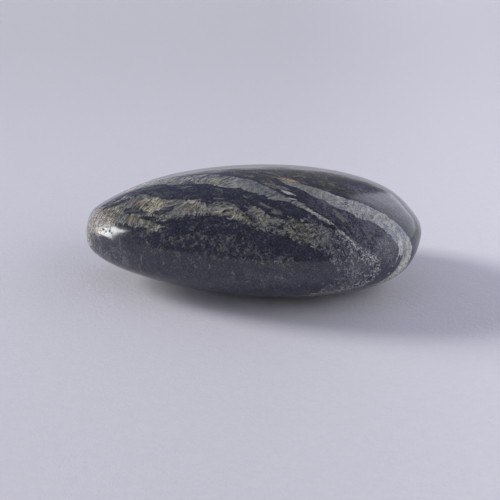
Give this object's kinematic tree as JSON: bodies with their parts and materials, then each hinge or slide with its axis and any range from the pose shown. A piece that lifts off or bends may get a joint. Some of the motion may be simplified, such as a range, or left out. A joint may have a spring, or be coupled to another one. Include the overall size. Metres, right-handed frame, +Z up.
{
  "type": "polished serpentine stone",
  "caption": "Lens-shaped palm stone of polished serpentine, nearly black, with pale grey-green bands and fine white veining.",
  "frame": {"origin": "on the surface that the stone rests on, under the middle of its bounding box", "axes": "+X along the stone towards its broader end, +Y across it away from the side seen first, +Z up through its thickness"},
  "size_m": [0.0574, 0.0392, 0.0183],
  "materials": {
    "polished_serpentine": "tumble-polished to a gloss, nearly black with pale grey-green bands"
  },
  "bodies": {
    "root": {"stone": "polished_serpentine"}
  },
  "joints": []
}
